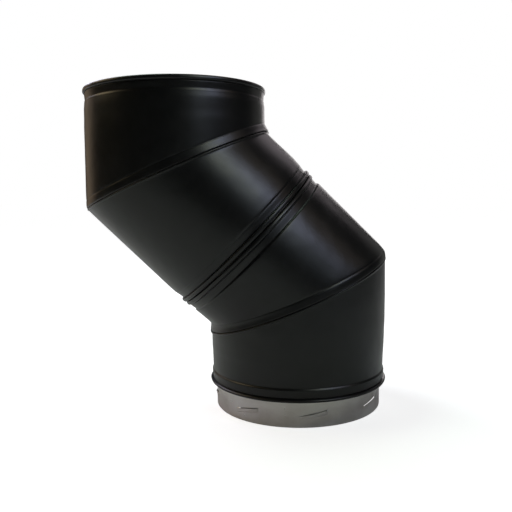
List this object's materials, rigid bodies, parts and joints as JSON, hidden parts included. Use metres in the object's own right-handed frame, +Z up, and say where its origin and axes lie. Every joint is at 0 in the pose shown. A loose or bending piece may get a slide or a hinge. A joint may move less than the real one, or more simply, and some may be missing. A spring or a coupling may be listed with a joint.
{
  "type": "flue elbow",
  "caption": "Adjustable twin-wall insulated flue elbow: two mitred halves turn on a 45 degree swivel, with a twist-lock spigot below and a socket above.",
  "frame": {"origin": "middle of the bounding box's foot, on the plane that the spigot stands on", "axes": "+Z up along both end axes, -X towards the side that the top collar is offset to, the swivel's axis in the XZ plane"},
  "size_m": [0.3372, 0.204, 0.355],
  "materials": {
    "powder_coat": "satin",
    "stainless": "satin",
    "mineral_wool": "matte",
    "ceramic_fibre": "matte"
  },
  "bodies": {
    "lower_elbow": {"lower_collar_casing": "powder_coat", "lower_collar_liner": "stainless", "lower_collar_insulation": "mineral_wool", "male_coupler": "stainless", "bottom_end_plate": "stainless", "lower_gore_casing": "powder_coat", "lower_gore_liner": "stainless", "lower_gore_insulation": "mineral_wool", "swivel_socket": "stainless", "swivel_socket_plate": "stainless", "swivel_snap_ring": "stainless", "swivel_seal": "ceramic_fibre"},
    "upper_elbow": {"upper_gore_casing": "powder_coat", "upper_gore_liner": "stainless", "upper_gore_insulation": "mineral_wool", "swivel_coupler": "stainless", "swivel_coupler_plate": "stainless", "top_collar_casing": "powder_coat", "top_collar_liner": "stainless", "top_collar_insulation": "mineral_wool", "female_coupler": "stainless", "top_end_plate": "stainless"}
  },
  "joints": [
    {"name": "swivel", "type": "hinge", "parent": "lower_elbow", "child": "upper_elbow", "pos_m": [0.00977, 0, 0.19098], "axis": [-0.7071, 0, 0.7071], "continuous": true}
  ]
}
